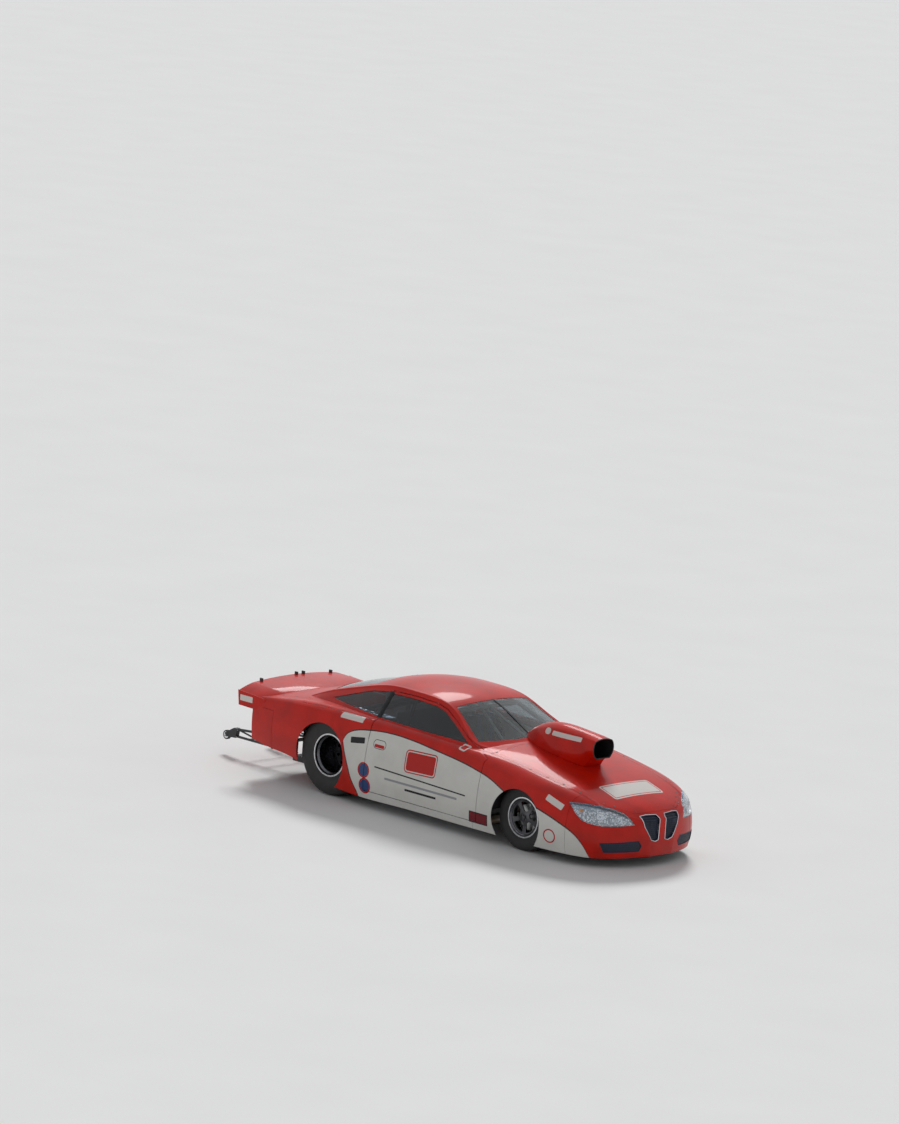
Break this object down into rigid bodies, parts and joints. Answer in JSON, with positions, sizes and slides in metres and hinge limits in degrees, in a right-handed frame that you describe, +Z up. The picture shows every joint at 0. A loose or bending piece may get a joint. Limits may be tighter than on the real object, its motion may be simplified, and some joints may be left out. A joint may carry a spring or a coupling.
{
  "type": "drag racing car",
  "caption": "Full-bodied drag racing car with an arched rear spoiler, hood scoop, wide rear slicks and a wheelie bar; doors open, front wheels steer, wheels roll.",
  "frame": {"origin": "on the ground, under the middle of the bounding box", "axes": "+X forward, +Y to the car's left, +Z up"},
  "size_m": [5.8, 1.836, 1.2693],
  "materials": {
    "red_paint": "gloss",
    "white_paint": "gloss",
    "black_paint": "satin",
    "cage_steel": "satin",
    "clear_glass": "clear",
    "lamp_lens": "gloss",
    "tail_lens": "gloss",
    "grille_mesh": "matte",
    "bare_sheet": "brushed",
    "engine_metal": "cast",
    "link_steel": "brushed",
    "shaft_steel": "brushed",
    "header_steel": "heat stained",
    "tank_metal": "brushed",
    "chute_fabric": "woven",
    "seat_shell": "matte",
    "dash_plastic": "matte",
    "tyre_rubber": "matte",
    "rim_metal": "polished",
    "roller_plastic": "matte",
    "grip_rubber": "matte"
  },
  "bodies": {
    "car_body": {"nose_cover": "red_paint", "right_fender": "red_paint", "left_fender": "red_paint", "hood": "red_paint", "hood_scoop": "red_paint", "roof_and_pillars": "red_paint", "right_quarter": "red_paint", "left_quarter": "red_paint", "deck_lid": "red_paint", "rear_bumper": "red_paint", "sills": "white_paint", "windshield": "clear_glass", "rear_window": "clear_glass", "quarter_windows": "clear_glass", "headlights": "lamp_lens", "grilles": "grille_mesh", "tail_lights": "tail_lens", "front_tray": "black_paint", "wheel_liners": "black_paint", "floor_and_firewalls": "bare_sheet", "rear_wheel_tubs": "bare_sheet", "frame": "black_paint", "roll_cage": "cage_steel", "engine_block": "engine_metal", "gearbox": "engine_metal", "rear_axle_housing": "black_paint", "rear_suspension": "link_steel", "front_suspension": "link_steel", "exhausts": "header_steel", "wheelie_bar": "black_paint", "rear_spoiler": "red_paint", "parachute_pack": "chute_fabric", "driver_seat": "seat_shell", "dashboard": "dash_plastic", "fuel_tank": "tank_metal"},
    "right_door": {"right_door": "white_paint", "right_door_window": "clear_glass"},
    "left_door": {"left_door": "white_paint", "left_door_window": "clear_glass"},
    "right_knuckle": {"right_knuckle": "link_steel"},
    "left_knuckle": {"left_knuckle": "link_steel"},
    "right_front_wheel": {"right_front_tyre": "tyre_rubber", "right_front_rim": "rim_metal"},
    "left_front_wheel": {"left_front_tyre": "tyre_rubber", "left_front_rim": "rim_metal"},
    "right_rear_wheel": {"right_rear_tyre": "tyre_rubber", "right_rear_rim": "rim_metal"},
    "left_rear_wheel": {"left_rear_tyre": "tyre_rubber", "left_rear_rim": "rim_metal"},
    "right_wheelie_wheel": {"right_wheelie_wheel": "roller_plastic"},
    "left_wheelie_wheel": {"left_wheelie_wheel": "roller_plastic"},
    "steering_rack": {"steering_rack": "link_steel"},
    "steering_wheel": {"steering_wheel": "grip_rubber"},
    "drive_shaft": {"drive_shaft": "shaft_steel"}
  },
  "joints": [
    {"name": "right_door_hinge", "type": "hinge", "parent": "car_body", "child": "right_door", "pos_m": [1.258, -0.91, 0.43], "axis": [0, 0, 1], "range_deg": [0, 60]},
    {"name": "left_door_hinge", "type": "hinge", "parent": "car_body", "child": "left_door", "pos_m": [1.258, 0.91, 0.43], "axis": [0, 0, -1], "range_deg": [0, 60]},
    {"name": "right_front_steer", "type": "hinge", "parent": "car_body", "child": "right_knuckle", "pos_m": [1.8, -0.655, 0.33], "axis": [0, 0, 1], "range_deg": [-10, 10]},
    {"name": "left_front_steer", "type": "hinge", "parent": "car_body", "child": "left_knuckle", "pos_m": [1.8, 0.655, 0.33], "axis": [0, 0, 1], "range_deg": [-10, 10]},
    {"name": "steering_rack_slide", "type": "slide", "parent": "car_body", "child": "steering_rack", "axis": [0, 1, 0], "range_m": [-0.0246, 0.0246]},
    {"name": "steering_wheel_turn", "type": "hinge", "parent": "car_body", "child": "steering_wheel", "pos_m": [0.56, 0.37, 0.64], "axis": [-0.9397, 0, 0.342], "range_deg": [-101, 101]},
    {"name": "right_front_wheel_spin", "type": "hinge", "parent": "right_knuckle", "child": "right_front_wheel", "pos_m": [1.8, -0.755, 0.33], "axis": [0, 1, 0], "continuous": true},
    {"name": "left_front_wheel_spin", "type": "hinge", "parent": "left_knuckle", "child": "left_front_wheel", "pos_m": [1.8, 0.755, 0.33], "axis": [0, 1, 0], "continuous": true},
    {"name": "right_rear_wheel_spin", "type": "hinge", "parent": "car_body", "child": "right_rear_wheel", "pos_m": [-0.867, -0.63, 0.412], "axis": [0, 1, 0], "continuous": true},
    {"name": "left_rear_wheel_spin", "type": "hinge", "parent": "car_body", "child": "left_rear_wheel", "pos_m": [-0.867, 0.63, 0.412], "axis": [0, 1, 0], "continuous": true},
    {"name": "drive_shaft_spin", "type": "hinge", "parent": "car_body", "child": "drive_shaft", "pos_m": [-0.12, 0, 0.33], "axis": [1, 0, 0], "continuous": true},
    {"name": "right_wheelie_wheel_spin", "type": "hinge", "parent": "car_body", "child": "right_wheelie_wheel", "pos_m": [-2.852, -0.33, 0.177], "axis": [0, 1, 0], "continuous": true},
    {"name": "left_wheelie_wheel_spin", "type": "hinge", "parent": "car_body", "child": "left_wheelie_wheel", "pos_m": [-2.852, 0.33, 0.177], "axis": [0, 1, 0], "continuous": true}
  ],
  "couplings": [
    {"joint": "left_front_steer", "follows": "right_front_steer", "ratio": 1},
    {"joint": "steering_rack_slide", "follows": "right_front_steer", "m_per_rad": 0.14},
    {"joint": "steering_wheel_turn", "follows": "right_front_steer", "ratio": 10},
    {"joint": "left_rear_wheel_spin", "follows": "right_rear_wheel_spin", "ratio": 1},
    {"joint": "drive_shaft_spin", "follows": "right_rear_wheel_spin", "ratio": 4.29}
  ]
}
